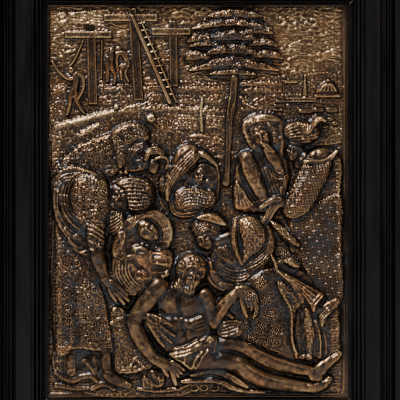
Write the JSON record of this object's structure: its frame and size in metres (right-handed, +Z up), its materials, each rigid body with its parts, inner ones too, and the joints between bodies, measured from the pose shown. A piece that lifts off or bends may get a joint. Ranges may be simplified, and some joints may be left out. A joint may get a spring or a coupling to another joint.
{
  "type": "relief plaque",
  "caption": "Upright bronze relief of mourners round a dead man below crosses and a tree, set in a mitred black moulded frame that hangs on a wall.",
  "frame": {"origin": "middle of the top rail's flat back, the face that hangs against the wall", "axes": "+Y out of the back into the wall, +Z up along the longer side, +X to the viewer's right"},
  "size_m": [0.2126, 0.0219, 0.2591],
  "materials": {
    "bronze": "dark brown patina, rubbed to golden brown on the high parts",
    "ebonised_wood": "black stain under a worn satin polish"
  },
  "bodies": {
    "root": {"relief_plaque": "bronze", "frame_rail_top": "ebonised_wood", "frame_rail_bottom": "ebonised_wood", "frame_rail_left": "ebonised_wood", "frame_rail_right": "ebonised_wood"}
  },
  "joints": []
}
